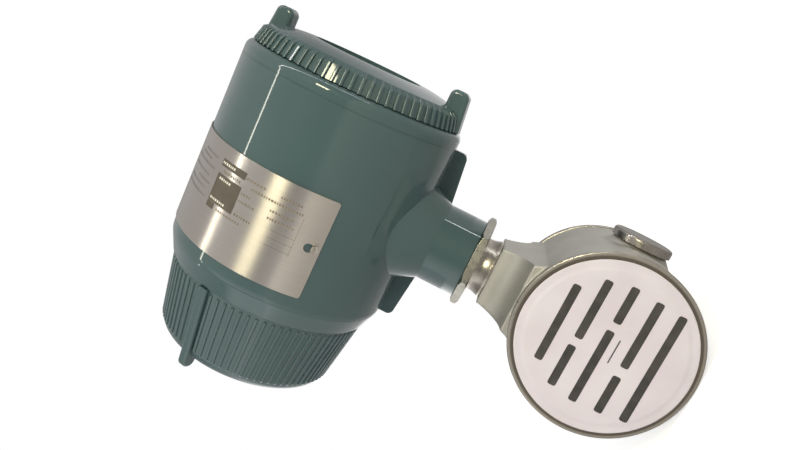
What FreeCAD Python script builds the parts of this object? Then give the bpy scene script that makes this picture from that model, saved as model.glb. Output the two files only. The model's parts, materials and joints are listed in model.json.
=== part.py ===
import FreeCAD, Part
import math
import os
from types import SimpleNamespace

import Sketcher

# Electromagnetic flow meter: a wafer flow sensor that carries a round converter on a neck.
# Millimetres. Origin at the centre of the flow bore, X along the flow, display towards -Y, Z up.

SIZES = {
    # Gaps: of seated pieces, of turning fits, of pieces that move apart; and how far cuts reach past a wall
    "seat_gap": 0.05,
    "running_gap": 0.08,
    "joint_gap": 0.3,
    "cut_margin": 1.0,
    # Flow bore, liner and measuring tube
    "bore_radius": 25.0,
    "liner_wall": 3.0,
    "liner_flare_radius": 45.0,
    "liner_flare_thickness": 2.5,
    "tube_wall": 2.5,
    # Sensor body
    "body_length": 87.8,
    "body_radius": 50.0,
    "end_ring_thickness": 5.6,
    "end_ring_edge": 0.8,
    "end_groove_width": 1.2,
    "end_groove_depth": 1.5,
    "shell_radius": 49.3,
    "shell_wall": 3.0,
    # Glued sheet over the inlet face
    "sheet_radius": 46.4,
    "sheet_thickness": 0.7,
    "sheet_raised_radius": 40.6,
    "sheet_raised_height": 0.5,
    "sheet_bevel": 1.6,
    # Flared block on top of the sensor body
    "block_top_height": 67.2,
    "block_top_half": 17.0,
    "block_waist_height": 54.0,
    "block_waist_half": 19.2,
    "block_flare_height": 40.5,
    "block_flare_half": 25.3,
    "block_flare_radius": 27.0,
    "block_foot_height": 50.0,
    "block_foot_half": 35.0,
    "block_foot_radius": 22.0,
    "block_collar_height": 64.6,
    "lead_hole_radius": 6.0,
    # Electrodes and their covers
    "electrode_head_radius": 4.0,
    "electrode_head_length": 9.5,
    "electrode_pin_radius": 2.0,
    "electrode_pin_length": 7.0,
    "bush_radius": 7.0,
    "bush_flange_radius": 9.0,
    "bush_flange_thickness": 3.0,
    "electrode_nut_flats": 7.0,
    "electrode_nut_thickness": 3.0,
    "well_radius": 11.0,
    "electrode_boss_radius": 14.8,
    "electrode_boss_foot": 20.0,
    "electrode_boss_rise": 5.6,
    "electrode_boss_face": 50.6,
    "electrode_cap_radius": 17.1,
    "electrode_cap_thickness": 4.8,
    "electrode_cap_edge": 1.6,
    "cap_plug_length": 4.0,
    # Magnet
    "core_radius": 7.0,
    "coil_radius": 16.0,
    "coil_lift": 1.2,
    "yoke_inner_radius": 43.0,
    "yoke_thickness": 2.4,
    "yoke_width": 36.0,
    # Stem, seal, lock nut and leads
    "stem_radius": 16.0,
    "stem_bore_radius": 9.0,
    "stem_foot_radius": 17.4,
    "stem_foot_height": 1.4,
    "stem_flare_height": 7.0,
    "stem_flare_radius": 14.0,
    "stem_length": 36.8,
    "stem_seal_height": 22.8,
    "stem_groove_width": 3.2,
    "stem_groove_depth": 2.6,
    "stem_seal_radius": 1.2,
    "nut_flats": 47.5,
    "nut_thickness": 4.8,
    "nut_chamfer": 1.1,
    "nut_turn": -17.4,
    "lead_radius": 4.0,
    "lead_lift": 1.0,
    "lead_tail": 5.5,
    # Converter housing, its axis at a height above the block
    "converter_height": 115.5,
    "housing_radius": 66.8,
    "housing_front": 62.0,
    "housing_rear": 66.6,
    "housing_wall": 5.0,
    "front_edge_round": 5.0,
    "shoulder_start": 52.8,
    "shoulder_round": 8.0,
    "shoulder_slope": 21.0,
    "rear_rim_round": 0.8,
    "front_seam_position": 53.7,
    "rear_seam_position": 55.9,
    "seam_width": 0.6,
    "seam_depth": 0.2,
    "partition_position": 14.0,
    "partition_thickness": 6.0,
    "wire_hole_radius": 9.0,
    "wire_hole_side": 24.0,
    "wire_hole_drop": 44.0,
    "front_thread_radius": 57.0,
    "rear_thread_radius": 55.4,
    "thread_length": 16.0,
    "seal_seat_width": 3.2,
    "seal_seat_depth": 3.0,
    "seal_cord_radius": 1.1,
    # Neck of the housing: its lower end above the block, its cone and flare from the converter's axis
    "neck_bottom": 14.1,
    "neck_radius": 23.5,
    "neck_cone_start": -79.3,
    "neck_cone_end": -61.7,
    "neck_cone_radius": 32.0,
    "neck_flare_end": -50.2,
    "neck_flare_radius": 44.5,
    "neck_flare_round": 23.1,
    # Cable entry boss of the housing, its heights from the converter's axis
    "boss_near": 12.0,
    "boss_face": 54.0,
    "boss_front": 52.1,
    "boss_rear": 57.3,
    "boss_end_height": -74.6,
    "boss_middle_height": -80.8,
    "boss_top_height": -33.0,
    "boss_draft": 4.5,
    "boss_round": 4.0,
    "port_radius": 10.2,
    "port_depth": 18.0,
    "port_throat_radius": 7.5,
    "port_throat_depth": 40.0,
    "port_height": -60.7,
    "port_front": 28.0,
    "port_rear": 40.0,
    # Both covers
    "rib_count": 80,
    "rib_width": 1.9,
    "front_rib_depth": 1.4,
    "rear_rib_depth": 0.9,
    "rib_edge": 0.6,
    "rib_nose": 2.6,
    "cover_wall": 4.5,
    "spigot_length": 13.0,
    "thread_gap": 0.4,
    # Front cover with window
    "front_ring_radius": 62.6,
    "front_ring_tip_radius": 60.2,
    "front_ring_height": 8.0,
    "bezel_edge_radius": 57.5,
    "bezel_edge_height": 10.9,
    "bezel_height": 14.6,
    "bezel_round": 90.0,
    "window_radius": 32.3,
    "window_recess": 6.0,
    "glass_radius": 42.0,
    "glass_thickness": 5.0,
    "gasket_thickness": 1.0,
    "retainer_width": 9.0,
    "retainer_thickness": 3.0,
    "front_lug_inner": 51.0,
    "front_lug_outer": 62.2,
    "front_lug_foot": 64.6,
    "front_lug_height": 22.4,
    "front_lug_width": 12.0,
    "front_lug_round": 4.0,
    "front_lug_edge": 2.5,
    "front_cover_turn": -4.0,
    # Deep rear cover
    "rear_base_radius": 60.3,
    "rear_tip_radius": 52.3,
    "rear_depth": 47.2,
    "rear_end_round": 8.4,
    "rear_lug_proud": 3.0,
    "rear_lug_reach": 5.0,
    "rear_lug_inset": 5.5,
    "rear_lug_width": 5.8,
    "rear_lug_round": 4.0,
    "rear_lug_edge": 1.5,
    "rear_cover_turn": 107.8,
    # Nameplate
    "plate_front": 8.8,
    "plate_rear": 47.3,
    "plate_low_angle": -26.8,
    "plate_high_angle": 92.0,
    "plate_thickness": 0.7,
    "plate_corner": 1.6,
    "plate_screw_head_radius": 2.1,
    "plate_screw_head_height": 1.3,
    "plate_screw_slot": 0.7,
    "plate_screw_inset_angle": 2.9,
    "plate_screw_offset": -0.4,
    "plate_hole_radius": 2.5,
    "plate_hole_angle": 2.7,
    # Electronics
    "board_radius": 51.0,
    "board_thickness": 1.6,
    "power_board_distance": 12.0,
    "board_spacing": 24.0,
    "post_circle_radius": 45.0,
    "post_radius": 3.0,
    "post_count": 4,
    "post_turn": 45.0,
    "bezel_plate_radius": 49.0,
    "bezel_plate_thickness": 2.0,
    "bezel_plate_lift": 10.5,
    "lcd_width": 62.0,
    "lcd_height": 30.0,
    "lcd_thickness": 7.0,
    "lcd_rim": 2.0,
    "transformer_width": 36.0,
    "transformer_height": 30.0,
    "transformer_depth": 18.0,
    "capacitor_radius": 6.5,
    "capacitor_length": 17.0,
    "capacitor_side": 30.0,
    "capacitor_spacing": 16.0,
    "chip_width": 20.0,
    "chip_thickness": 2.4,
    "chip_spacing": 28.0,
    # Terminals
    "terminal_width": 90.0,
    "terminal_height": 24.0,
    "terminal_depth": 18.0,
    "terminal_wall": 1.6,
    "terminal_wall_rise": 6.0,
    "terminal_count": 8,
    "terminal_screw_radius": 3.4,
    "terminal_screw_height": 2.6,
    "earth_screw_radius": 4.2,
    "earth_screw_height": 4.0,
    "earth_screw_drop": 36.0,
}


class Size:
    """A number and the sheet formula that gives it, so that drawn and bound values agree."""

    def __init__(self, number, formula):
        self.number = number
        self.formula = formula

    def __add__(self, other):
        other = as_size(other)
        return Size(self.number + other.number, "(%s + %s)" % (self.formula, other.formula))

    def __sub__(self, other):
        other = as_size(other)
        return Size(self.number - other.number, "(%s - %s)" % (self.formula, other.formula))

    def __mul__(self, other):
        other = as_size(other)
        return Size(self.number * other.number, "(%s * %s)" % (self.formula, other.formula))

    def __truediv__(self, other):
        other = as_size(other)
        return Size(self.number / other.number, "(%s / %s)" % (self.formula, other.formula))

    def __rsub__(self, other):
        return as_size(other) - self

    def __rtruediv__(self, other):
        return as_size(other) / self

    def __neg__(self):
        return Size(-self.number, "(0 - %s)" % self.formula)

    __radd__ = __add__
    __rmul__ = __mul__


def as_size(value):
    return value if isinstance(value, Size) else Size(float(value), "%r" % float(value))


def cosine(angle):
    return Size(math.cos(math.radians(angle.number)), "cos(%s * 1 deg)" % angle.formula)


def sine(angle):
    return Size(math.sin(math.radians(angle.number)), "sin(%s * 1 deg)" % angle.formula)


def root_of(size):
    return Size(math.sqrt(size.number), "sqrt(%s)" % size.formula)


def wall_height(radius, aside):
    """Height of a round wall above its axis, at a distance to one side."""
    return root_of(radius * radius - aside * aside)


def fill_sheet(doc):
    """Write the driving sizes to a spreadsheet and hand them back as bound values."""
    sheet = doc.addObject("Spreadsheet::Sheet", "Sizes")
    for row, (alias, number) in enumerate(SIZES.items(), start=1):
        sheet.set("A%d" % row, alias)
        sheet.set("B%d" % row, str(number))
        sheet.setAlias("B%d" % row, alias)
    doc.recompute()
    return SimpleNamespace(**{alias: Size(float(sheet.get(alias)), "Sizes." + alias) for alias in SIZES})


doc = FreeCAD.newDocument("FlowMeter")
s = fill_sheet(doc)
nodes = []

# Lengths that several pieces share
half_length = s.body_length / 2
tube_inner = s.bore_radius + s.liner_wall
tube_outer = tube_inner + s.tube_wall
shell_end = half_length - s.end_ring_thickness
shell_inner = s.shell_radius - s.shell_wall
yoke_outer = s.yoke_inner_radius + s.yoke_thickness
bore_wall = s.housing_radius - s.housing_wall
partition_rear = s.partition_position + s.partition_thickness
front_spigot = s.front_thread_radius - s.thread_gap
rear_spigot = s.rear_thread_radius - s.thread_gap
seal_middle = s.seal_seat_depth / 2
converter_axis = s.block_top_height + s.converter_height
neck_foot = s.block_top_height + s.neck_bottom
plate_middle = (s.plate_rear - s.plate_front) / 2

# How a piece's own Z axis lies in the meter
AXES = {
    "+X": FreeCAD.Rotation(FreeCAD.Vector(0, 1, 0), 90),
    "-X": FreeCAD.Rotation(FreeCAD.Vector(0, 1, 0), -90),
    "+Y": FreeCAD.Rotation(FreeCAD.Vector(1, 0, 0), -90),
    "-Y": FreeCAD.Rotation(FreeCAD.Vector(1, 0, 0), 90),
    "+Z": FreeCAD.Rotation(),
    "-Z": FreeCAD.Rotation(FreeCAD.Vector(1, 0, 0), 180),
}


def bind(thing, path, size):
    thing.setExpression(path, as_size(size).formula)


def place(thing, axis="+Z", at=(0, 0, 0), spin=0.0):
    """Point the piece's own Z along an axis, spun about it, with its origin bound to sizes."""
    turn = AXES[axis].multiply(FreeCAD.Rotation(FreeCAD.Vector(0, 0, 1), spin))
    thing.Placement = FreeCAD.Placement(FreeCAD.Vector(), turn)
    for letter, value in zip("xyz", at):
        bind(thing, "Placement.Base." + letter, value)
    return thing


def origin_part(body, role):
    return next(item for item in body.Origin.OriginFeatures if item.Role == role)


def new_sketch(body, name, plane, lift=0):
    sketch = body.newObject("Sketcher::SketchObject", name)
    sketch.AttachmentSupport = [(origin_part(body, plane), "")]
    sketch.MapMode = "FlatFace"
    bind(sketch, "AttachmentOffset.Base.z", lift)
    return sketch


def hold_point(sketch, geometry, end, x, y):
    """Hold one end of a line or arc at two sizes measured from the sketch origin."""
    for kind, axis, size in (("DistanceX", -2, as_size(x)), ("DistanceY", -1, as_size(y))):
        if size.number == 0:
            sketch.addConstraint(Sketcher.Constraint("PointOnObject", geometry, end, axis))
            continue
        ends = (-1, 1, geometry, end) if size.number > 0 else (geometry, end, -1, 1)
        index = sketch.addConstraint(Sketcher.Constraint(kind, *ends, abs(size.number)))
        bind(sketch, "Constraints[%d]" % index, size if size.number > 0 else -size)


def arc_between(start, finish, radius):
    """Short arc from start to finish: a positive radius bends it to the left of the way."""
    chord = finish - start
    reach = math.sqrt(radius * radius - (chord.Length / 2) ** 2)
    left = FreeCAD.Vector(-chord.y, chord.x, 0).normalize()
    centre = (start + finish) * 0.5 + left * math.copysign(reach, radius)
    first, last = (start, finish) if radius > 0 else (finish, start)
    angles = [math.atan2(point.y - centre.y, point.x - centre.x) for point in (first, last)]
    return Part.ArcOfCircle(Part.Circle(centre, FreeCAD.Vector(0, 0, 1), abs(radius)), *angles)


def outline(body, name, plane, corners, lift=0):
    """Closed outline. A corner is (x, y), or (x, y, radius) where an arc leads to the next corner."""
    sketch = new_sketch(body, name, plane, lift)
    points = [FreeCAD.Vector(as_size(c[0]).number, as_size(c[1]).number, 0) for c in corners]
    ends = []
    for index, corner in enumerate(corners):
        start, finish = points[index], points[(index + 1) % len(points)]
        if len(corner) == 3:
            sketch.addGeometry(arc_between(start, finish, corner[2].number), False)
            ends.append((1, 2) if corner[2].number > 0 else (2, 1))
        else:
            sketch.addGeometry(Part.LineSegment(start, finish), False)
            ends.append((1, 2))
    for index in range(len(corners)):
        following = (index + 1) % len(corners)
        joint = (index, ends[index][1], following, ends[following][0])
        sketch.addConstraint(Sketcher.Constraint("Coincident", *joint))
    for index, corner in enumerate(corners):
        hold_point(sketch, index, ends[index][0], corner[0], corner[1])
        if len(corner) == 3:
            radius = corner[2] if corner[2].number > 0 else -corner[2]
            held = sketch.addConstraint(Sketcher.Constraint("Radius", index, radius.number))
            bind(sketch, "Constraints[%d]" % held, radius)
    return sketch


def circles(body, name, plane, places, radius, lift=0):
    sketch = new_sketch(body, name, plane, lift)
    for index, (x, y) in enumerate(places):
        centre = FreeCAD.Vector(as_size(x).number, as_size(y).number, 0)
        sketch.addGeometry(Part.Circle(centre, FreeCAD.Vector(0, 0, 1), radius.number), False)
        hold_point(sketch, index, 3, x, y)
        held = sketch.addConstraint(Sketcher.Constraint("Radius", index, radius.number))
        bind(sketch, "Constraints[%d]" % held, radius)
    return sketch


def revolve(body, name, sketch, axis="V_Axis", kind="Revolution"):
    feature = body.newObject("PartDesign::" + kind, name)
    feature.Profile = sketch
    feature.ReferenceAxis = (sketch, [axis])
    feature.Angle = 360
    return feature


def extrude(body, name, sketch, length, kind="Pad"):
    feature = body.newObject("PartDesign::" + kind, name)
    feature.Profile = sketch
    bind(feature, "Length", length)
    return feature


def new_body(name):
    return doc.addObject("PartDesign::Body", name)


def turned(name, corners, axis, at=(0, 0, 0), spin=0.0):
    """Body of revolution about its own Z, from corners given as (radius, height)."""
    body = new_body(name)
    revolve(body, name + "_turn", outline(body, name + "_profile", "XZ_Plane", corners))
    return place(body, axis, at, spin)


def ring(name, inner, outer, length, axis, at=(0, 0, 0)):
    corners = [(inner, 0), (outer, 0), (outer, length), (inner, length)]
    return turned(name, corners, axis, at)


def soften(body, radius, chosen):
    """Round the edges of the body's last feature that the test picks."""
    doc.recompute()
    base = body.Tip
    names = ["Edge%d" % n for n, edge in enumerate(base.Shape.Edges, start=1) if chosen(edge)]
    feature = body.newObject("PartDesign::Fillet", body.Name + "_edges")
    feature.Base = (base, names)
    bind(feature, "Radius", radius)


def near(number, size):
    return abs(number - as_size(size).number) < 1e-4


def cylinder(name, radius, length, axis="+Z", at=(0, 0, 0)):
    solid = doc.addObject("Part::Cylinder", name)
    bind(solid, "Radius", radius)
    bind(solid, "Height", length)
    return place(solid, axis, at)


def box(name, sizes, at):
    solid = doc.addObject("Part::Box", name)
    for side, size in zip(("Length", "Width", "Height"), sizes):
        bind(solid, side, size)
    return place(solid, "+Z", at)


def prism(name, flats, length, axis="+Z", at=(0, 0, 0), spin=0.0):
    """Hexagonal bar measured across its flats."""
    solid = doc.addObject("Part::Prism", name)
    solid.Polygon = 6
    bind(solid, "Circumradius", flats / math.sqrt(3))
    bind(solid, "Height", length)
    return place(solid, axis, at, spin)


def torus(name, radius, cord, axis, at):
    solid = doc.addObject("Part::Torus", name)
    bind(solid, "Radius1", radius)
    bind(solid, "Radius2", cord)
    return place(solid, axis, at)


def several(name, kind, solids):
    if len(solids) == 1:
        return solids[0]
    result = doc.addObject(kind, name)
    if kind == "Part::Compound":
        result.Links = solids
    else:
        result.Shapes = solids
    return result


def fuse(name, *solids):
    return several(name, "Part::MultiFuse", list(solids))


def group(name, solids):
    return several(name, "Part::Compound", list(solids))


def common(name, first, second):
    result = doc.addObject("Part::Common", name)
    result.Base = first
    result.Tool = second
    return result


def cut(name, base, *tools):
    result = doc.addObject("Part::Cut", name)
    result.Base = base
    result.Tool = fuse(name + "_tools", *tools)
    return result


def keep(node, thing):
    """Give a finished sub-part its node name and put it on the list to write."""
    thing.Label = node
    nodes.append(thing)
    return thing


def both_sides(name, radius, reach):
    """Round bar along Y, right through the middle of the sensor."""
    return cylinder(name, radius, 2 * reach, "+Y", (0, -reach, 0))


# Flow sensor

def make_measuring_tube():
    length = s.body_length - 2 * s.liner_flare_thickness
    pipe = ring("tube_pipe", tube_inner, tube_outer, length, "+X", (-length / 2, 0, 0))
    hole = both_sides("tube_electrode_hole", s.bush_radius + s.seat_gap, tube_outer + s.cut_margin)
    keep("measuring_tube", cut("tube", pipe, hole))


def make_liner():
    outer = tube_inner - s.seat_gap
    flare = s.liner_flare_radius - s.seat_gap
    thick = s.liner_flare_thickness - s.seat_gap
    length = s.body_length
    corners = [
        (s.bore_radius, 0), (flare, 0), (flare, thick), (outer, thick),
        (outer, length - thick), (flare, length - thick), (flare, length), (s.bore_radius, length),
    ]
    spool = turned("liner_spool", corners, "+X", (-half_length, 0, 0))
    hole = both_sides("liner_electrode_hole", s.electrode_head_radius + s.seat_gap, tube_inner + s.cut_margin)
    keep("liner", cut("lined_spool", spool, hole))


def make_end_ring(node, axis, side):
    inner = tube_outer + s.seat_gap
    groove = s.body_radius - s.end_groove_depth
    thick = s.end_ring_thickness
    floor = thick - s.liner_flare_thickness
    edge = s.end_ring_edge
    corners = [
        (inner, s.seat_gap), (groove, s.seat_gap), (groove, s.end_groove_width),
        (s.body_radius - edge, s.end_groove_width, edge), (s.body_radius, s.end_groove_width + edge),
        (s.body_radius, thick - edge, edge), (s.body_radius - edge, thick),
        (s.liner_flare_radius, thick), (s.liner_flare_radius, floor), (inner, floor),
    ]
    keep(node, turned(node, corners, axis, (side * shell_end, 0, 0)))


def make_block():
    """Four sided block that flares down into the round body on every side."""
    across = new_body("block_across")
    side = [
        (s.block_top_half, s.block_top_height), (-s.block_top_half, s.block_top_height),
        (-s.block_waist_half, s.block_waist_height, -s.block_flare_radius),
        (-s.block_flare_half, s.block_flare_height),
        (s.block_flare_half, s.block_flare_height, -s.block_flare_radius),
        (s.block_waist_half, s.block_waist_height),
    ]
    profile = outline(across, "block_across_profile", "YZ_Plane", side, -shell_end)
    extrude(across, "block_across_pad", profile, 2 * shell_end)

    along = new_body("block_along")
    face = [
        (s.block_top_half, s.block_top_height), (-s.block_top_half, s.block_top_height),
        (-s.block_top_half, s.block_collar_height, -s.block_foot_radius),
        (-s.block_foot_half, s.block_foot_height), (-s.block_foot_half, s.block_flare_height),
        (s.block_foot_half, s.block_flare_height),
        (s.block_foot_half, s.block_foot_height, -s.block_foot_radius),
        (s.block_top_half, s.block_collar_height),
    ]
    profile = outline(along, "block_along_profile", "XZ_Plane", face, -s.shell_radius)
    extrude(along, "block_along_pad", profile, 2 * s.shell_radius)
    return common("block", across, along)


def make_sensor_housing():
    length = 2 * shell_end
    drum = cylinder("shell_drum", s.shell_radius, length, "+X", (-shell_end, 0, 0))
    face = s.electrode_boss_face
    foot = face - s.electrode_boss_rise
    corners = [
        (0, -face), (s.electrode_boss_radius, -face), (s.electrode_boss_foot, -foot),
        (s.electrode_boss_foot, foot), (s.electrode_boss_radius, face), (0, face),
    ]
    bosses = turned("electrode_bosses", corners, "+Y", (0, 0, 0))
    outside = fuse("sensor_outside", drum, make_block(), bosses)
    hollow = cylinder("shell_hollow", shell_inner, length, "+X", (-shell_end, 0, 0))
    wells = both_sides("electrode_wells", s.well_radius, s.electrode_boss_face)
    lead_hole = cylinder("lead_hole", s.lead_hole_radius, s.block_top_height)
    keep("sensor_housing", cut("sensor_shell", outside, hollow, wells, lead_hole))


def make_electrode(side, axis, sign):
    """Electrode pin in its insulating bush, with a nut behind it and a round cap outside."""
    head = s.bore_radius + s.electrode_head_length
    pin_end = s.electrode_head_length + s.electrode_pin_length
    corners = [
        (0, 0), (s.electrode_head_radius, 0), (s.electrode_head_radius, s.electrode_head_length),
        (s.electrode_pin_radius, s.electrode_head_length), (s.electrode_pin_radius, pin_end), (0, pin_end),
    ]
    keep("electrode_" + side, turned("electrode_" + side, corners, axis, (0, sign * s.bore_radius, 0)))

    inner = s.electrode_head_radius + s.seat_gap
    seat = tube_outer + s.seat_gap
    step = seat - tube_inner - s.seat_gap
    top = step + s.bush_flange_thickness
    corners = [
        (inner, 0), (s.bush_radius, 0), (s.bush_radius, step), (s.bush_flange_radius, step),
        (s.bush_flange_radius, top), (inner, top),
    ]
    bush = turned("electrode_bush_" + side, corners, axis, (0, sign * (tube_inner + s.seat_gap), 0))
    keep("electrode_bush_" + side, bush)

    nut_at = (0, sign * (head + s.seat_gap), 0)
    bar = prism("electrode_nut_bar_" + side, s.electrode_nut_flats, s.electrode_nut_thickness, axis, nut_at)
    bore = cylinder("electrode_nut_bore_" + side, s.electrode_pin_radius + s.seat_gap,
                    s.electrode_nut_thickness, axis, nut_at)
    keep("electrode_nut_" + side, cut("electrode_nut_" + side, bar, bore))

    plug = s.well_radius - s.seat_gap
    face = s.cap_plug_length + s.electrode_cap_thickness
    edge = s.electrode_cap_edge
    corners = [
        (0, 0), (plug, 0), (plug, s.cap_plug_length), (s.electrode_cap_radius, s.cap_plug_length),
        (s.electrode_cap_radius, face - edge, edge), (s.electrode_cap_radius - edge, face), (0, face),
    ]
    foot = s.electrode_boss_face + s.seat_gap - s.cap_plug_length
    keep("electrode_cover_" + side, turned("electrode_cap_" + side, corners, axis, (0, sign * foot, 0)))


def make_magnet_pole(side, axis, sign):
    foot = tube_outer + s.seat_gap
    length = wall_height(s.yoke_inner_radius, s.core_radius) - s.seat_gap - foot
    keep("core_" + side, cylinder("core_" + side, s.core_radius, length, axis, (0, 0, sign * foot)))
    foot = tube_outer + s.coil_lift
    length = wall_height(s.yoke_inner_radius, s.coil_radius) - s.seat_gap - foot
    inner = s.core_radius + s.seat_gap
    keep("coil_" + side, ring("coil_" + side, inner, s.coil_radius, length, axis, (0, 0, sign * foot)))


def make_yoke():
    at = (-s.yoke_width / 2, 0, 0)
    band = ring("yoke_band", s.yoke_inner_radius, yoke_outer, s.yoke_width, "+X", at)
    window = both_sides("yoke_window", s.well_radius, yoke_outer + s.cut_margin)
    keep("magnetic_yoke", cut("yoke", band, window))


def make_sheet():
    low = s.seat_gap
    edge = low + s.sheet_thickness
    top = edge + s.sheet_raised_height
    corners = [
        (0, low), (s.sheet_radius, low), (s.sheet_radius, edge),
        (s.sheet_raised_radius + s.sheet_bevel, edge), (s.sheet_raised_radius, top), (0, top),
    ]
    keep("protective_sheet", turned("protective_sheet", corners, "-X", (-half_length, 0, 0)))


def make_stem():
    foot = s.block_top_height + s.seat_gap
    groove = s.stem_radius - s.stem_groove_depth
    seal_top = s.stem_seal_height + s.stem_groove_width
    corners = [
        (s.stem_bore_radius, 0), (s.stem_foot_radius, 0),
        (s.stem_foot_radius, s.stem_foot_height, -s.stem_flare_radius),
        (s.stem_radius, s.stem_flare_height), (s.stem_radius, s.stem_seal_height),
        (groove, s.stem_seal_height), (groove, seal_top), (s.stem_radius, seal_top),
        (s.stem_radius, s.stem_length), (s.stem_bore_radius, s.stem_length),
    ]
    keep("stem", turned("stem", corners, "+Z", (0, 0, foot)))
    seal_at = (0, 0, foot + s.stem_seal_height + s.stem_groove_width / 2)
    seal_ring = groove + s.seat_gap + s.stem_seal_radius
    keep("stem_seal", torus("stem_seal", seal_ring, s.stem_seal_radius, "+Z", seal_at))


def make_lock_nut():
    foot = neck_foot - s.joint_gap - s.nut_thickness
    at = (0, 0, foot)
    bar = prism("nut_bar", s.nut_flats, s.nut_thickness, "+Z", at, s.nut_turn.number)
    corner = s.nut_flats / math.sqrt(3)
    face = corner - s.nut_chamfer * 2
    shoulder = s.nut_thickness - s.nut_chamfer
    corners = [
        (s.stem_radius + s.running_gap, 0), (face, 0), (corner, s.nut_chamfer), (corner, shoulder),
        (face, s.nut_thickness), (s.stem_radius + s.running_gap, s.nut_thickness),
    ]
    keep("lock_nut", common("nut", bar, turned("nut_blank", corners, "+Z", at)))


def make_leads():
    """Bundle from just above the yoke, through the stem, into the foot of the converter."""
    low = yoke_outer + s.lead_lift
    high = converter_axis - bore_wall + s.lead_tail
    keep("sensor_leads", cylinder("leads", s.lead_radius, high - low, "+Z", (0, 0, low)))


# Converter housing

def cut_seal_and_thread(body, name, end, inward, thread, floor):
    """Turned hollow from one open end: seal seat, thread land, then the full width to the partition."""
    seat = thread + s.seal_seat_width
    seat_end = end + inward * s.seal_seat_depth
    thread_end = end + inward * s.thread_length
    corners = [
        (end, 0), (end, seat), (seat_end, seat), (seat_end, thread), (thread_end, thread),
        (thread_end, bore_wall), (floor, bore_wall), (floor, 0),
    ]
    revolve(body, name, outline(body, name + "_profile", "YZ_Plane", corners), "H_Axis", "Groove")


def make_converter_housing():
    body = place(new_body("housing"), "+Z", (0, 0, converter_axis))
    front, rear = -s.housing_front, s.housing_rear
    edge = s.front_edge_round
    slope = s.shoulder_slope
    cone = s.shoulder_start + s.shoulder_round * sine(slope)
    cone_radius = s.housing_radius - s.shoulder_round * (1 - cosine(slope))
    rim = rear - s.rear_rim_round * (1 - sine(slope))
    rim_radius = cone_radius - (rim - cone) * sine(slope) / cosine(slope)
    end_radius = rim_radius - s.rear_rim_round * cosine(slope)
    corners = [
        (front, 0), (front, s.housing_radius - edge, -edge), (front + edge, s.housing_radius),
        (s.shoulder_start, s.housing_radius, -s.shoulder_round), (cone, cone_radius),
        (rim, rim_radius, -s.rear_rim_round), (rear, end_radius), (rear, 0),
    ]
    revolve(body, "housing_drum", outline(body, "housing_profile", "YZ_Plane", corners), "H_Axis")

    outside = s.housing_radius + s.cut_margin
    for name, middle, wall in (("front_seam", -s.front_seam_position, s.housing_radius),
                               ("rear_seam", s.rear_seam_position, cone_radius)):
        left = middle - s.seam_width / 2
        right = middle + s.seam_width / 2
        bottom = wall - s.seam_depth
        corners = [(left, bottom), (left, outside), (right, outside), (right, bottom)]
        revolve(body, name, outline(body, name + "_profile", "YZ_Plane", corners), "H_Axis", "Groove")

    neck_end = neck_foot - converter_axis
    neck_top = s.neck_flare_end
    corners = [
        (0, neck_end), (s.neck_radius, neck_end), (s.neck_radius, s.neck_cone_start),
        (s.neck_cone_radius, s.neck_cone_end, -s.neck_flare_round), (s.neck_flare_radius, neck_top),
        (0, neck_top),
    ]
    revolve(body, "neck", outline(body, "neck_profile", "YZ_Plane", corners))

    top, low = s.boss_top_height, s.boss_end_height
    bend = s.boss_round
    corners = [
        (-s.boss_front, top), (-s.boss_front, low + bend, bend), (-s.boss_front + bend, low),
        (0, s.boss_middle_height), (s.boss_rear - bend, low, bend), (s.boss_rear, low + bend),
        (s.boss_rear, top),
    ]
    profile = outline(body, "boss_profile", "YZ_Plane", corners, s.boss_near)
    boss = extrude(body, "boss", profile, s.boss_face - s.boss_near)
    bind(boss, "TaperAngle", -s.boss_draft)
    entries = [(-s.port_front, s.port_height), (s.port_rear, s.port_height)]

    cut_seal_and_thread(body, "front_hollow", front, 1, s.front_thread_radius, s.partition_position)
    cut_seal_and_thread(body, "rear_hollow", rear, -1, s.rear_thread_radius, partition_rear)

    bore = s.stem_radius + s.running_gap
    corners = [(0, neck_end), (bore, neck_end), (bore, neck_top), (0, neck_top)]
    revolve(body, "neck_bore", outline(body, "neck_bore_profile", "YZ_Plane", corners), kind="Groove")

    mouths = circles(body, "port_circles", "YZ_Plane", entries, s.port_radius, s.boss_face)
    extrude(body, "ports", mouths, s.port_depth, "Pocket")
    throats = circles(body, "throat_circles", "YZ_Plane", entries, s.port_throat_radius, s.boss_face)
    extrude(body, "port_throats", throats, s.port_throat_depth, "Pocket")

    hole = circles(body, "wire_circle", "XZ_Plane", [(s.wire_hole_side, -s.wire_hole_drop)],
                   s.wire_hole_radius, -s.partition_position)
    extrude(body, "wire_hole", hole, s.partition_thickness, "Pocket")
    keep("converter_housing", body)


def at_plate(thing, angle, along, lift):
    """Stand a piece on the housing wall, its own Z pointing out at an angle above -X."""
    radius = s.housing_radius + lift
    turn = angle - 90
    place(thing, "+Z", (-radius * cosine(angle), along, converter_axis + radius * sine(angle)))
    lean = FreeCAD.Rotation(FreeCAD.Vector(0, 1, 0), turn.number)
    thing.Placement = FreeCAD.Placement(thing.Placement.Base, lean)
    bind(thing, "Placement.Rotation.Angle", turn)


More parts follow.
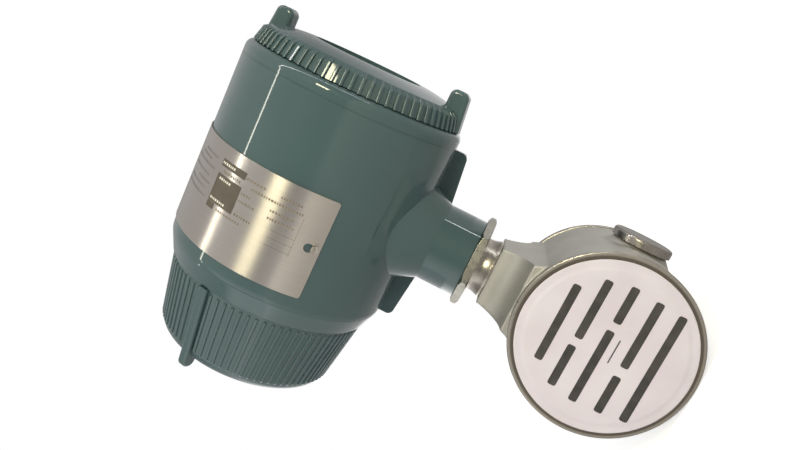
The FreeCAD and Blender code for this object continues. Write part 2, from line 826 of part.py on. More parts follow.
def make_nameplate():
    body = place(new_body("plate"), "+Z", (0, 0, converter_axis))
    inner = s.housing_radius + s.seat_gap
    outer = inner + s.plate_thickness
    low = (-cosine(s.plate_low_angle), sine(s.plate_low_angle))
    high = (-cosine(s.plate_high_angle), sine(s.plate_high_angle))
    corners = [
        (inner * high[0], inner * high[1], inner), (inner * low[0], inner * low[1]),
        (outer * low[0], outer * low[1], -outer), (outer * high[0], outer * high[1]),
    ]
    profile = outline(body, "plate_profile", "XZ_Plane", corners, -s.plate_rear)
    extrude(body, "plate_sheet", profile, s.plate_front + s.plate_rear)

    def corner_edge(edge):
        return isinstance(edge.Curve, Part.Line) and near(edge.Length, s.plate_thickness)

    soften(body, s.plate_corner, corner_edge)
    tools = []
    for end, angle, inward in plate_ends():
        tool = cylinder("plate_hole_" + end, s.plate_hole_radius, s.plate_thickness + 2 * s.cut_margin)
        at_plate(tool, angle + inward * s.plate_hole_angle, plate_middle, -s.cut_margin)
        tools.append(tool)
    keep("nameplate", cut("plate", body, *tools))


def plate_ends():
    """Name of each end of the plate, the angle of its screw and the turn that leads inward."""
    inset = s.plate_screw_inset_angle
    return (("low", s.plate_low_angle + inset, 1), ("high", s.plate_high_angle - inset, -1))


def make_nameplate_screws():
    low = s.seat_gap * 2 + s.plate_thickness
    screws = []
    middle = plate_middle + s.plate_screw_offset
    for end, angle, _ in plate_ends():
        head = cylinder("plate_head_" + end, s.plate_screw_head_radius, s.plate_screw_head_height)
        at_plate(head, angle, middle, low)
        wide = 2 * s.plate_screw_head_radius
        slot = box("plate_slot_" + end, (s.plate_screw_slot, wide, s.plate_screw_slot), (0, 0, 0))
        slot_floor = low + s.plate_screw_head_height - s.plate_screw_slot
        at_plate(slot, angle, middle - s.plate_screw_head_radius, slot_floor)
        screws.append(cut("plate_screw_" + end, head, slot))
    keep("nameplate_screws", group("plate_screws", screws))


# Covers

def add_ribs(body, depth, stations):
    """Ribs spread evenly round a cover, rounded on top, led through (height, radius of the wall, rise)."""
    sections = []
    half = s.rib_width / 2
    edge = s.rib_edge
    for number, (height, radius, rise) in enumerate(stations):
        root = radius + depth * (rise - 2)
        tip = radius + depth * rise
        corners = [
            (root, -half), (tip - edge, -half, edge), (tip, edge - half), (tip, half - edge, edge),
            (tip - edge, half), (root, half),
        ]
        name = "%s_rib_%d" % (body.Name, number)
        sections.append(outline(body, name, "XY_Plane", corners, height))
    rib = body.newObject("PartDesign::AdditiveLoft", body.Name + "_rib")
    rib.Profile = sections[0]
    rib.Sections = sections[1:]
    rib.Ruled = True
    repeat_around(body, body.Name + "_ribs", rib, s.rib_count)


def repeat_around(body, name, feature, count):
    doc.recompute()
    pattern = body.newObject("PartDesign::PolarPattern", name)
    pattern.Originals = [feature]
    pattern.Axis = (origin_part(body, "Z_Axis"), [""])
    pattern.Angle = 360
    bind(pattern, "Occurrences", count)
    body.Tip = pattern


def make_lugs(name, corners, width, edge, clear, axis, at, spin):
    """Two opposite lugs for a bar: a side profile with a width, its edges rounded above a height."""
    def long_edge(line):
        return near(line.BoundBox.XLength, 0) and line.BoundBox.ZMax > clear.number

    lugs = []
    for number, turn in enumerate((0, 180)):
        body = new_body("%s_lug_%d" % (name, number))
        profile = outline(body, body.Name + "_profile", "YZ_Plane", corners, -width / 2)
        extrude(body, body.Name + "_pad", profile, width)
        soften(body, edge, long_edge)
        lugs.append(place(body, axis, at, spin + turn))
    return lugs


def make_front_cover():
    seat = s.joint_gap
    ring_top = seat + s.front_ring_height
    hollow = front_spigot - s.cover_wall
    ledge = s.bezel_height - s.window_recess
    corners = [
        (hollow, -s.spigot_length), (front_spigot, -s.spigot_length), (front_spigot, seat),
        (s.front_ring_radius, seat), (s.front_ring_tip_radius, ring_top),
        (s.bezel_edge_radius, s.bezel_edge_height, s.bezel_round), (s.window_radius, s.bezel_height),
        (s.window_radius, ledge), (hollow, ledge),
    ]
    seated = ("-Y", (0, -s.housing_front, converter_axis), s.front_cover_turn.number)
    body = turned("front_shell", corners, *seated)
    tip = s.front_ring_tip_radius
    stations = [(seat, s.front_ring_radius, 1), (ring_top, tip, 1), (ring_top + s.rib_nose, tip, -2)]
    add_ribs(body, s.front_rib_depth, stations)
    bend = s.front_lug_round
    inner, outer, top = s.front_lug_inner, s.front_lug_outer, s.front_lug_height
    root = ledge + 1
    lug = [
        (inner, root), (front_spigot, root), (front_spigot, seat), (s.front_lug_foot, seat),
        (outer, top - bend, bend), (outer - bend, top), (inner + bend, top, bend), (inner, top - bend),
    ]
    lugs = make_lugs("front", lug, s.front_lug_width, s.front_lug_edge, s.bezel_height, *seated)
    keep("front_cover", fuse("front_cover_with_lugs", body, *lugs))

    low = ledge - s.seat_gap - s.gasket_thickness
    at = (0, -s.housing_front - low, converter_axis)
    gasket = ring("window_gasket", s.window_radius, s.glass_radius, s.gasket_thickness, "-Y", at)
    keep("window_gasket", gasket)
    low = low - s.seat_gap - s.glass_thickness
    at = (0, -s.housing_front - low, converter_axis)
    keep("window_glass", cylinder("window_glass", s.glass_radius, s.glass_thickness, "-Y", at))
    low = low - s.seat_gap - s.retainer_thickness
    at = (0, -s.housing_front - low, converter_axis)
    inner = s.glass_radius - s.retainer_width
    retainer = ring("glass_retainer", inner, hollow - s.seat_gap, s.retainer_thickness, "-Y", at)
    keep("glass_retainer", retainer)


def make_rear_cover():
    seat = s.joint_gap
    hollow = rear_spigot - s.cover_wall
    depth = s.rear_depth
    inner_tip = s.rear_tip_radius - s.cover_wall
    floor = depth - s.cover_wall
    slope = (s.rear_base_radius - s.rear_tip_radius) / (depth - seat)
    end = s.rear_end_round
    base = s.rear_base_radius
    lean = root_of(1 + slope * slope)
    cone_end = depth - end + end * slope / lean
    cone_radius = base - slope * (cone_end - seat)
    flat_radius = cone_radius - end / lean
    corners = [
        (hollow, -s.spigot_length), (rear_spigot, -s.spigot_length), (rear_spigot, seat), (base, seat),
        (cone_radius, cone_end, end), (flat_radius, depth), (0, depth), (0, floor), (inner_tip, floor),
        (hollow, seat),
    ]
    seated = ("+Y", (0, s.housing_rear, converter_axis), s.rear_cover_turn.number)
    body = turned("rear_shell", corners, *seated)
    stations = [
        (seat, base, -2), (seat + s.rib_nose, base - slope * s.rib_nose, 1), (cone_end, cone_radius, 1),
        (cone_end + s.rib_nose, cone_radius, -2),
    ]
    add_ribs(body, s.rear_rib_depth, stations)
    bend = s.rear_lug_round
    top = depth + s.rear_lug_reach
    outer_tip = s.rear_tip_radius + s.rear_lug_proud
    inner = s.rear_tip_radius - s.rear_lug_inset
    buried = s.cover_wall / 2
    lug = [
        (base - buried, seat), (base + s.rear_lug_proud, seat),
        (outer_tip, top - bend, bend), (outer_tip - bend, top), (inner + bend, top, bend),
        (inner, top - bend), (inner, depth - buried), (s.rear_tip_radius - buried, depth - buried),
    ]
    lugs = make_lugs("rear", lug, s.rear_lug_width, s.rear_lug_edge, depth, *seated)
    keep("rear_cover", fuse("rear_cover_with_lugs", body, *lugs))


def make_cover_seals():
    seals = (("front_cover_seal", "-Y", -s.housing_front + seal_middle, s.front_thread_radius),
             ("rear_cover_seal", "+Y", s.housing_rear - seal_middle, s.rear_thread_radius))
    for node, axis, end, thread in seals:
        radius = thread + s.seal_seat_width / 2
        keep(node, torus(node, radius, s.seal_cord_radius, axis, (0, end, converter_axis)))


# Electronics

power_back = s.partition_position - s.power_board_distance
cpu_back = power_back - s.board_thickness - s.board_spacing
display_back = cpu_back - s.board_thickness - s.board_spacing / 2


def make_boards():
    for node, back in (("power_board", power_back), ("cpu_board", cpu_back), ("display_board", display_back)):
        disc = cylinder(node + "_disc", s.board_radius, s.board_thickness, "-Y", (0, back, converter_axis))
        keep(node, disc)


def make_posts():
    """Spacer posts between the partition, the three boards and the bezel plate."""
    plate_back = display_back - s.board_thickness - s.bezel_plate_lift
    gap = s.seat_gap
    spans = [
        (s.partition_position - gap, power_back + gap),
        (power_back - s.board_thickness - gap, cpu_back + gap),
        (cpu_back - s.board_thickness - gap, display_back + gap),
        (display_back - s.board_thickness - gap, plate_back + gap),
    ]
    posts = []
    for number in range(int(s.post_count.number)):
        angle = s.post_turn + 360.0 * number / s.post_count
        x = s.post_circle_radius * cosine(angle)
        z = converter_axis + s.post_circle_radius * sine(angle)
        for level, (start, finish) in enumerate(spans):
            name = "post_%d_%d" % (number, level)
            posts.append(cylinder(name, s.post_radius, start - finish, "-Y", (x, start, z)))
    keep("board_posts", group("posts", posts))


def make_display():
    plate_back = display_back - s.board_thickness - s.bezel_plate_lift
    at = (0, plate_back, converter_axis)
    plate = cylinder("bezel_disc", s.bezel_plate_radius, s.bezel_plate_thickness, "-Y", at)
    wide = s.lcd_width - 2 * s.lcd_rim
    high = s.lcd_height - 2 * s.lcd_rim
    deep = s.bezel_plate_thickness + 2 * s.cut_margin
    at = (-wide / 2, plate_back + s.cut_margin - deep, converter_axis - high / 2)
    opening = box("bezel_opening", (wide, deep, high), at)
    keep("display_bezel", cut("bezel", plate, opening))
    lcd_front = plate_back + s.seat_gap
    at = (-s.lcd_width / 2, lcd_front, converter_axis - s.lcd_height / 2)
    keep("lcd_module", box("lcd", (s.lcd_width, s.lcd_thickness, s.lcd_height), at))


def make_power_parts():
    front = power_back - s.board_thickness - s.seat_gap
    corner = (-s.transformer_width / 2, front - s.transformer_depth, converter_axis)
    sizes = (s.transformer_width, s.transformer_depth, s.transformer_height)
    keep("transformer", box("transformer", sizes, corner))
    cans = []
    for number in range(3):
        x = s.capacitor_spacing * (number - 1)
        at = (x, front, converter_axis - s.capacitor_side)
        cans.append(cylinder("capacitor_%d" % number, s.capacitor_radius, s.capacitor_length, "-Y", at))
    keep("capacitors", group("cans", cans))


def make_chips():
    front = cpu_back - s.board_thickness - s.seat_gap
    chips = []
    for number in range(2):
        x = s.chip_spacing * (number - 0.5) - s.chip_width / 2
        at = (x, front - s.chip_thickness, converter_axis - s.chip_width / 2)
        chips.append(box("chip_%d" % number, (s.chip_width, s.chip_thickness, s.chip_width), at))
    keep("processor_chips", group("chips", chips))


def make_terminals():
    back = partition_rear + s.seat_gap
    low = converter_axis - s.terminal_height / 2
    sizes = (s.terminal_width, s.terminal_depth, s.terminal_height)
    base = box("terminal_base", sizes, (-s.terminal_width / 2, back, low))
    pitch = (s.terminal_width - s.terminal_wall) / s.terminal_count
    walls = []
    screws = []
    deep = s.terminal_depth + s.terminal_wall_rise
    top = back + s.terminal_depth + s.seat_gap
    count = int(s.terminal_count.number)
    for number in range(count + 1):
        at = (pitch * number - s.terminal_width / 2, back, low)
        walls.append(box("terminal_wall_%d" % number, (s.terminal_wall, deep, s.terminal_height), at))
    for number in range(count):
        x = pitch * (number + 0.5) + s.terminal_wall / 2 - s.terminal_width / 2
        at = (x, top, converter_axis)
        name = "terminal_screw_%d" % number
        screws.append(cylinder(name, s.terminal_screw_radius, s.terminal_screw_height, "+Y", at))
    keep("terminal_block", fuse("terminal_strip", base, *walls))
    keep("terminal_screws", group("clamp_screws", screws))
    at = (0, back, converter_axis - s.earth_screw_drop)
    keep("earth_screw", cylinder("earth", s.earth_screw_radius, s.earth_screw_height, "+Y", at))


make_measuring_tube()
make_liner()
make_end_ring("end_ring_inlet", "-X", -1)
make_end_ring("end_ring_outlet", "+X", 1)
make_sensor_housing()
make_electrode("front", "-Y", -1)
make_electrode("rear", "+Y", 1)
make_magnet_pole("upper", "+Z", 1)
make_magnet_pole("lower", "-Z", -1)
make_yoke()
make_sheet()
make_stem()
make_lock_nut()
make_leads()
make_converter_housing()
make_nameplate()
make_nameplate_screws()
make_front_cover()
make_rear_cover()
make_cover_seals()
make_boards()
make_posts()
make_display()
make_power_parts()
make_chips()
make_terminals()
doc.recompute()

for thing in doc.Objects:
    if "Invalid" in thing.State or "Error" in thing.State:
        raise RuntimeError("%s failed: %s" % (thing.Name, thing.State))
for thing in nodes:
    if thing.Shape.isNull() or not thing.Shape.isValid() or not thing.Shape.Solids:
        raise RuntimeError("%s has no sound solid" % thing.Label)

os.makedirs("parts", exist_ok=True)
for thing in nodes:
    thing.Shape.exportStep("parts/%s.step" % thing.Label)
    print("%-24s %2d solid(s) %10.1f mm3" % (thing.Label, len(thing.Shape.Solids), thing.Shape.Volume))
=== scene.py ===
import json
import math

import bpy
from mathutils import Matrix, Vector


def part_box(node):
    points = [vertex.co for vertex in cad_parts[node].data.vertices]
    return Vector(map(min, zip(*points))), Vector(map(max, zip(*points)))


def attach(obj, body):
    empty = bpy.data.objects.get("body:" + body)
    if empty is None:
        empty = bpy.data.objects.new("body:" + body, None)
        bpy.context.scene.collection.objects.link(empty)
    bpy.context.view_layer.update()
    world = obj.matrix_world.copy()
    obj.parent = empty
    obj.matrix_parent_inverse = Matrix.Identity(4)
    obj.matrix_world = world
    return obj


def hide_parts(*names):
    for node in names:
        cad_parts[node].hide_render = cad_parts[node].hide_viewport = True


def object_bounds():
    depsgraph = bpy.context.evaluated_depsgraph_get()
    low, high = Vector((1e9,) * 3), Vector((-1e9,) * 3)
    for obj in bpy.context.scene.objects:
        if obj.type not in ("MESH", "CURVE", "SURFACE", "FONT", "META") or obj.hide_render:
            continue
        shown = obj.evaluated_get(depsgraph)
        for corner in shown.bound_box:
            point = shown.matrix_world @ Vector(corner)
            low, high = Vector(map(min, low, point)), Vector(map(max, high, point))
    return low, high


# Electromagnetic flow meter: finishes, sheet, printed fields, threads, display, studio and camera.
# Metres, in the frame of the solids: X along the flow, display towards -Y, Z up.

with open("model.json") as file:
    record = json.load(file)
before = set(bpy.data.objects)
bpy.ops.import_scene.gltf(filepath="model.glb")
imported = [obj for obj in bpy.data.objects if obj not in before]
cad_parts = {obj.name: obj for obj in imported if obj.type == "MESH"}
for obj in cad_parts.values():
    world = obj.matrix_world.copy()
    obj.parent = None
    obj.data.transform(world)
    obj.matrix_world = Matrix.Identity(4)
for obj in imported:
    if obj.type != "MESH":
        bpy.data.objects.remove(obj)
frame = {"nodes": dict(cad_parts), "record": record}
cad_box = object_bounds()
solids = frame["nodes"]
record = frame["record"]
MM = 0.001
WHITE = (1, 1, 1, 1)


# Node materials

class Nodes:
    """A node tree, with short ways to add nodes and link them."""

    def __init__(self, tree):
        self.tree = tree

    def add(self, kind, inputs=(), **settings):
        node = self.tree.nodes.new("ShaderNode" + kind)
        for key, value in settings.items():
            setattr(node, key, value)
        for key, value in dict(inputs).items():
            self.feed(node.inputs[key], value)
        return node

    def feed(self, socket, value):
        if isinstance(value, bpy.types.NodeSocket):
            self.tree.links.new(value, socket)
        else:
            socket.default_value = value

    def math(self, operation, *values):
        node = self.add("Math", operation=operation)
        for socket, value in zip(node.inputs, values):
            self.feed(socket, value)
        return node.outputs["Value"]

    def split(self, vector):
        return self.add("SeparateXYZ", {"Vector": vector}).outputs

    def spread(self, factor, low, high, start=0.3, end=0.7, smooth=False):
        """A factor between start and end, carried over to the range from low to high."""
        kind = "SMOOTHSTEP" if smooth else "LINEAR"
        node = self.add("MapRange", {"Value": factor, "From Min": start, "From Max": end,
                                     "To Min": low, "To Max": high}, interpolation_type=kind)
        return node.outputs["Result"]


class Finish(Nodes):
    """One main shader with textures that follow the piece."""

    def __init__(self, name, **constants):
        self.material = bpy.data.materials.new(name)
        self.material.use_nodes = True
        super().__init__(self.material.node_tree)
        self.shader = self.tree.nodes["Principled BSDF"]
        for key, value in constants.items():
            self.shader.inputs[key.replace("_", " ")].default_value = value
        self.place = self.add("TexCoord").outputs["Object"]
        self.surface = None

    def noise(self, size, detail=3.0, stretch=(1, 1, 1)):
        place = self.add("Mapping", {"Vector": self.place, "Scale": stretch}).outputs["Vector"]
        return self.add("TexNoise", {"Vector": place, "Scale": 1 / size, "Detail": detail}).outputs["Fac"]

    def colour(self, factor, dark, light, start=0.3, end=0.7):
        share = self.spread(factor, 0, 1, start, end)
        node = self.add("Mix", {"Factor": share}, data_type="RGBA")
        self.feed(node.inputs[6], (*dark, 1))
        self.feed(node.inputs[7], (*light, 1))
        self.feed(self.shader.inputs["Base Color"], node.outputs[2])

    def roughness(self, factor, low, high):
        self.feed(self.shader.inputs["Roughness"], self.spread(factor, low, high))

    def soft_edges(self, radius):
        self.surface = self.add("Bevel", {"Radius": radius}, samples=6).outputs["Normal"]
        self.feed(self.shader.inputs["Normal"], self.surface)

    def bump(self, height, depth, strength=1.0):
        inputs = {"Height": height, "Distance": depth, "Strength": strength}
        if self.surface is not None:
            inputs["Normal"] = self.surface
        self.surface = self.add("Bump", inputs).outputs["Normal"]
        self.feed(self.shader.inputs["Normal"], self.surface)

    def from_axis(self, axis):
        """Distance from a line along an axis through the origin, and the place along it."""
        parts = self.split(self.place)
        across = [parts[i] for i in range(3) if i != axis]
        squares = [self.math("MULTIPLY", value, value) for value in across]
        return self.math("SQRT", self.math("ADD", *squares)), parts[axis]

    def ridges(self, place, pitch):
        turn = self.math("MULTIPLY", place, 2 * math.pi / pitch)
        return self.math("MULTIPLY_ADD", self.math("SINE", turn), 0.5, 0.5)


def enamel(name, edge):
    finish = Finish(name, Specular_IOR_Level=0.15, Coat_Weight=1.0, Coat_Roughness=0.04)
    finish.colour(finish.noise(60 * MM), (0.042, 0.077, 0.080), (0.050, 0.089, 0.092))
    finish.roughness(finish.noise(9 * MM), 0.40, 0.50)
    finish.soft_edges(edge)
    finish.bump(finish.noise(2.6 * MM, 1), 0.02 * MM, 0.35)
    return finish.material


def cast_steel():
    finish = Finish("cast_steel", Metallic=1.0)
    grain = finish.noise(0.9 * MM, 4)
    finish.colour(finish.noise(22 * MM), (0.53, 0.515, 0.475), (0.59, 0.575, 0.535))
    finish.roughness(grain, 0.54, 0.64)
    finish.soft_edges(2.0 * MM)
    finish.bump(grain, 0.06 * MM, 0.45)
    return finish.material


def turned_steel(name, axis, dark, light, along=False):
    """Faint rings of tone, as a lathe leaves them, round an axis or along it."""
    finish = Finish(name, Metallic=1.0)
    radius, place = finish.from_axis(axis)
    lines = finish.ridges(place if along else radius, 1.3 * MM)
    tone = finish.math("ADD", finish.noise(14 * MM), finish.math("MULTIPLY", lines, 0.12))
    finish.colour(tone, dark, light)
    finish.roughness(finish.noise(3 * MM), 0.24, 0.34)
    finish.soft_edges(0.5 * MM)
    return finish.material


def ring_painted_reflection():
    """Sealing ring steel with a painted reflection: dark next to the sheet, brighter towards its outer edge.
    """
    dark_reflection_radius, bright_reflection_radius = 47.8 * MM, 48.6 * MM
    finish = Finish("ring_painted_reflection", Metallic=1.0)
    radius, _ = finish.from_axis(0)
    # Painted reflection: a dark band next to the sheet, turning brighter towards the ring's outer edge
    finish.colour(radius, (0.19, 0.165, 0.13), (0.46, 0.42, 0.365), dark_reflection_radius, bright_reflection_radius)
    finish.roughness(finish.noise(3 * MM), 0.26, 0.36)
    finish.soft_edges(0.6 * MM)
    return finish.material


def brushed_plate():
    finish = Finish("brushed_plate", Metallic=1.0, Anisotropic=1.0, Anisotropic_Rotation=0.25)
    lines = finish.noise(0.35 * MM, 2, (0.02, 1, 0.02))
    finish.colour(lines, (0.52, 0.475, 0.425), (0.57, 0.525, 0.475))
    finish.roughness(lines, 0.29, 0.345)
    tangent = finish.add("Tangent", direction_type="RADIAL", axis="Y").outputs["Tangent"]
    finish.feed(finish.shader.inputs["Tangent"], tangent)
    finish.bump(lines, 0.004 * MM, 0.4)
    return finish.material


def bright_screw():
    finish = Finish("bright_screw", Metallic=1.0)
    finish.colour(finish.noise(2 * MM), (0.50, 0.47, 0.40), (0.66, 0.63, 0.55))
    finish.roughness(finish.noise(0.8 * MM), 0.14, 0.26)
    finish.soft_edges(0.15 * MM)
    return finish.material


def moulded(name, dark, light, low=0.4, high=0.55, grain=0.5 * MM, depth=0.02 * MM, **constants):
    finish = Finish(name, **constants)
    finish.colour(finish.noise(8 * MM), dark, light)
    fine = finish.noise(grain)
    finish.roughness(fine, low, high)
    finish.soft_edges(0.3 * MM)
    finish.bump(fine, depth, 0.5)
    return finish.material


def sheet_film():
    finish = Finish("sheet_film", Subsurface_Weight=0.08, Subsurface_Scale=0.002)
    finish.colour(finish.noise(34 * MM), (0.595, 0.52, 0.56), (0.665, 0.60, 0.64))
    finish.roughness(finish.noise(5 * MM), 0.42, 0.58)
    finish.bump(finish.noise(0.45 * MM, 3), 0.02 * MM, 0.4)
    return finish.material


def winding():
    finish = Finish("winding", Metallic=1.0)
    _, place = finish.from_axis(2)
    finish.colour(finish.noise(4 * MM), (0.44, 0.17, 0.07), (0.60, 0.26, 0.12))
    finish.roughness(finish.noise(2 * MM), 0.25, 0.4)
    finish.bump(finish.ridges(place, 0.6 * MM), 0.15 * MM, 0.8)
    return finish.material


def clear_glass():
    finish = Finish("clear_glass", Transmission_Weight=1.0, IOR=1.5)
    finish.colour(finish.noise(30 * MM), (0.93, 0.97, 0.96), (0.97, 0.99, 0.98))
    finish.roughness(finish.noise(12 * MM), 0.0, 0.03)
    return finish.material


def laminated():
    finish = Finish("laminated_core")
    _, place = finish.from_axis(1)
    plies = finish.ridges(place, 1.0 * MM)
    finish.colour(plies, (0.055, 0.057, 0.062), (0.12, 0.12, 0.125))
    finish.roughness(finish.noise(2 * MM), 0.35, 0.5)
    finish.bump(plies, 0.1 * MM, 0.6)
    return finish.material


reflected_ring_steel = ring_painted_reflection()
cap_steel = turned_steel("turned_cap", 1, (0.29, 0.26, 0.235), (0.38, 0.35, 0.32))
cover_enamel = enamel("cover_enamel", 0.6 * MM)
by_node = {
    "sensor_housing": cast_steel(),
    "end_ring_inlet": reflected_ring_steel,
    "end_ring_outlet": reflected_ring_steel,
    "measuring_tube": turned_steel("tube_steel", 0, (0.42, 0.40, 0.37), (0.52, 0.50, 0.47)),
    "electrode_cover_front": cap_steel,
    "electrode_cover_rear": cap_steel,
    "stem": turned_steel("turned_stem", 2, (0.34, 0.305, 0.26), (0.48, 0.44, 0.385), along=True),
    "lock_nut": turned_steel("faced_nut", 2, (0.32, 0.305, 0.26), (0.385, 0.37, 0.32)),
    "front_cover": cover_enamel,
    "rear_cover": cover_enamel,
}
by_slot = {
    "paint": enamel("enamel", 1.0 * MM),
    "plate_steel": brushed_plate(),
    "screw_steel": bright_screw(),
    "electrode_metal": turned_steel("electrode", 1, (0.5, 0.5, 0.48), (0.62, 0.62, 0.6)),
    "fluoroplastic": moulded("fluoroplastic", (0.76, 0.76, 0.72), (0.84, 0.84, 0.81), 0.3, 0.42,
                             Subsurface_Weight=0.15, Subsurface_Scale=0.003),
    "sheet_paper": sheet_film(),
    "copper": winding(),
    "iron": moulded("yoke_iron", (0.12, 0.12, 0.125), (0.2, 0.2, 0.2), 0.4, 0.6, Metallic=0.8),
    "seal_rubber": moulded("seal_rubber", (0.016, 0.016, 0.017), (0.03, 0.03, 0.031), 0.55, 0.75),
    "lead_jacket": moulded("lead_jacket", (0.028, 0.028, 0.032), (0.05, 0.05, 0.056), 0.45, 0.6),
    "window": clear_glass(),
    "retainer_aluminium": turned_steel("retainer", 1, (0.55, 0.56, 0.57), (0.66, 0.67, 0.68)),
    "circuit_board": moulded("solder_mask", (0.012, 0.10, 0.045), (0.03, 0.17, 0.08), 0.3, 0.45, 1.5 * MM),
    "post_brass": turned_steel("brass_post", 1, (0.55, 0.38, 0.13), (0.68, 0.5, 0.21), along=True),
    "black_plastic": moulded("black_plastic", (0.020, 0.020, 0.022), (0.036, 0.036, 0.039)),
    "lcd": moulded("display_cell", (0.33, 0.385, 0.29), (0.39, 0.445, 0.345), 0.15, 0.25, 3 * MM),
    "transformer_core": laminated(),
    "can_aluminium": turned_steel("can", 1, (0.5, 0.51, 0.53), (0.62, 0.63, 0.65), along=True),
}
ink = moulded("print_ink", (0.030, 0.027, 0.024), (0.060, 0.054, 0.048), 0.45, 0.6)
field_ink = moulded("field_ink", (0.07, 0.056, 0.039), (0.092, 0.074, 0.053), 0.4, 0.5)
row_ink = moulded("row_ink", (0.17, 0.135, 0.10), (0.23, 0.185, 0.14), 0.4, 0.5)
faint_ink = moulded("faint_ink", (0.19, 0.175, 0.165), (0.24, 0.22, 0.21), 0.35, 0.45)
light_ink = moulded("light_ink", (0.60, 0.56, 0.47), (0.72, 0.68, 0.59), 0.35, 0.45)
resting_ink = moulded("resting_segments", (0.235, 0.275, 0.205), (0.27, 0.315, 0.24), 0.2, 0.3)


def dress(piece, material):
    piece.data.materials.clear()
    piece.data.materials.append(material)


for subpart in record["subparts"]:
    node = subpart["node"]
    dress(solids[node], by_node.get(node) or by_slot[subpart["material_slot"]])


# Pieces

def mesh_piece(name, points, faces, material, body, slot, smooth=False):
    mesh = bpy.data.meshes.new(name)
    mesh.from_pydata(points, [], faces)
    mesh.update()
    piece = bpy.data.objects.new(name, mesh)
    bpy.context.scene.collection.objects.link(piece)
    dress(piece, material)
    if smooth:
        mesh.shade_smooth()
    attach(piece, body)
    return piece


# Sheet glued over the inlet, pressed over the lining's edge, with a few creases
SHEET_RADIUS = 46.4 * MM
SHEET_RAISED = 40.6 * MM
SHEET_STEP = 2.6 * MM
SHEET_RISE = 0.5 * MM
SHEET_FILM = 0.22 * MM
SHEET_WAVE = 0.05 * MM
RIPPLE_Y = 7 * MM
RIPPLE_Z = 9 * MM
PUCKERS = 23
CREASE_WIDTH = 0.8 * MM
# Each crease: start and end as (y, z), and height, all in millimetres
CREASES = [
    ((-12.5, -2), (-16, -13), 0.12),
    ((0.5, -10), (-5, -17), 0.08),
    ((-24, 20), (-33, 9), 0.06),
]
sheet_low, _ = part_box("protective_sheet")
sheet_rim = sheet_low.x + SHEET_RISE


def ease(share):
    share = min(max(share, 0), 1)
    return share * share * (3 - 2 * share)


def crease(y, z, start, end, height):
    first = Vector(start) * MM
    run = Vector(end) * MM - first
    off = Vector((y, z)) - first
    along = min(max(off.dot(run) / run.length_squared, 0), 1)
    gap = (off - along * run).length
    return height * MM * math.sin(math.pi * (0.1 + 0.8 * along)) * math.exp(-(gap / CREASE_WIDTH) ** 2)


def sheet_front(y, z):
    """X of the sheet's outer surface at a point of its face."""
    radius = math.hypot(y, z)
    turn = math.atan2(z, y)
    raised = SHEET_RISE * ease((SHEET_RAISED + SHEET_STEP - radius) / SHEET_STEP)
    ripple = SHEET_WAVE * math.sin(y / RIPPLE_Y + 1.3) * math.sin(z / RIPPLE_Z + 0.4)
    edge = ease((radius - SHEET_RAISED) / (SHEET_RADIUS - SHEET_RAISED))
    pucker = SHEET_WAVE * edge * math.sin(PUCKERS * turn)
    folds = sum(crease(y, z, *values) for values in CREASES)
    return sheet_rim - raised - ripple - pucker - folds


def round_sheet(rings=74, steps=192):
    points = [(sheet_front(0, 0), 0, 0)]
    faces = []
    for ring in range(1, rings + 1):
        radius = SHEET_RADIUS * ring / rings
        for step in range(steps):
            turn = 2 * math.pi * step / steps
            y, z = radius * math.cos(turn), radius * math.sin(turn)
            points.append((sheet_front(y, z), y, z))
    for step in range(steps):
        after = (step + 1) % steps
        faces.append((0, 1 + after, 1 + step))
        for ring in range(rings - 1):
            row = 1 + ring * steps
            faces.append((row + step, row + after, row + steps + after, row + steps + step))
    return points, faces


sheet = mesh_piece("inlet_sheet", *round_sheet(), by_slot["sheet_paper"], "sensor", "sheet_paper", True)
shell = sheet.modifiers.new("film", "SOLIDIFY")
shell.thickness = SHEET_FILM
shell.offset = -1.0
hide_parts("protective_sheet")


# Print
INK_LIFT = 0.03 * MM


def printed(fields, place, cell):
    """Flat fields laid on a surface: place turns a field's own two coordinates into a point."""
    points = []
    faces = []
    for across, up, width, height, corner in fields:
        columns = max(2, round(width / cell))
        rows = max(2, round(height / cell))
        start = len(points)
        for row in range(rows + 1):
            for column in range(columns + 1):
                x = width * (column / columns - 0.5)
                y = height * (row / rows - 0.5)
                inset_x = max(abs(x) - (width / 2 - corner), 0)
                inset_y = max(abs(y) - (height / 2 - corner), 0)
                reach = math.hypot(inset_x, inset_y)
                if reach > corner:
                    pull = corner / reach
                    x -= math.copysign(inset_x * (1 - pull), x)
                    y -= math.copysign(inset_y * (1 - pull), y)
                points.append(place(across + x, up + y))
        for row in range(rows):
            for column in range(columns):
                first = start + row * (columns + 1) + column
                faces.append((first, first + 1, first + columns + 2, first + columns + 1))
    return points, faces


# Bars printed on the sheet: centre across and up, length, in millimetres
SHEET_BARS = [
    (0.9, 27.2, 44.8),
    (-18.5, 14.9, 24.4), (15.4, 14.4, 34.3),
    (-11.9, 1.6, 42.9), (24.7, 1.2, 21.0),
    (-21.5, -12.6, 22.1), (14.4, -13.0, 38.7),
    (0.9, -26.0, 63.3),
]
BAR_HEIGHT = 4.6
BAR_CORNER = 1.2
SHEET_CELL = 0.8
# The thin rule: centre across and up, length, height and corner
RULE = (0.4, -4.75, 13.8, 0.7, 0.3)


def on_sheet(across, up):
    y, z = -across * MM, up * MM
    return (sheet_front(y, z) - INK_LIFT, y, z)


bars = [(across, up, length, BAR_HEIGHT, BAR_CORNER) for across, up, length in SHEET_BARS] + [RULE]
mesh_piece("sheet_bars", *printed(bars, on_sheet, SHEET_CELL), ink, "sensor", "black_plastic", True)

# Nameplate print, in degrees round the drum and millimetres along it
joints = {joint["name"]: joint for joint in record["behaviour"]["joints"]}
DRUM_Z = joints["front_cover_turn"]["pos_m"][2]
PLATE_RADIUS = 67.55 * MM
PLATE_CELL = 0.5
PRINT_STEP = 0.01 * MM
HALF_LINE = 0.12
LINE_CORNER = 0.1
TABLE_LINES = (26.6, 22.4, 18.3)
DEGREE = math.radians(1) * PLATE_RADIUS / MM


